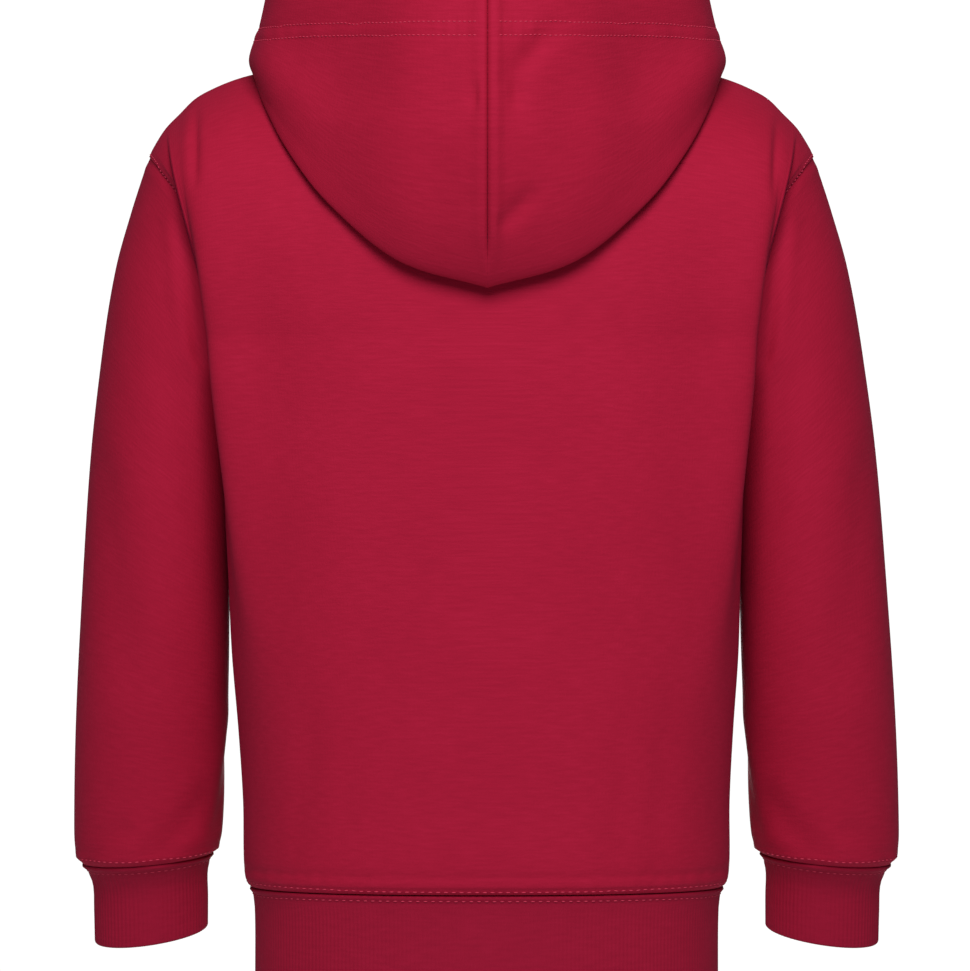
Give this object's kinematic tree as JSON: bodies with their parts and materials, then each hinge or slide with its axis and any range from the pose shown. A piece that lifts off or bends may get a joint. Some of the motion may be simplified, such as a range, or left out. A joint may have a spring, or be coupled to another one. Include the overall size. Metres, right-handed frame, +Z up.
{
  "type": "child's hoodie",
  "caption": "Child's pullover hoodie in brushed sweatshirt cloth with ribbed cuffs and hem, hood lying on the back.",
  "frame": {"origin": "middle of the neck, level with the high points of the shoulders, where the wearer's body holds it up", "axes": "+Z up along the body, -Y the way the wearer faces, +X the wearer's left side"},
  "size_m": [0.418, 0.2014, 0.4949],
  "materials": {
    "fleece": "matt brushed sweatshirt cloth, deep crimson",
    "rib": "matt rib knit, the same crimson a little darker"
  },
  "bodies": {
    "root": {"body_back": "fleece", "body_front": "fleece", "sleeve_left": "fleece", "sleeve_right": "fleece", "cuff_left": "rib", "cuff_right": "rib", "hem_band": "rib", "hood_left": "fleece", "hood_right": "fleece"}
  },
  "joints": []
}
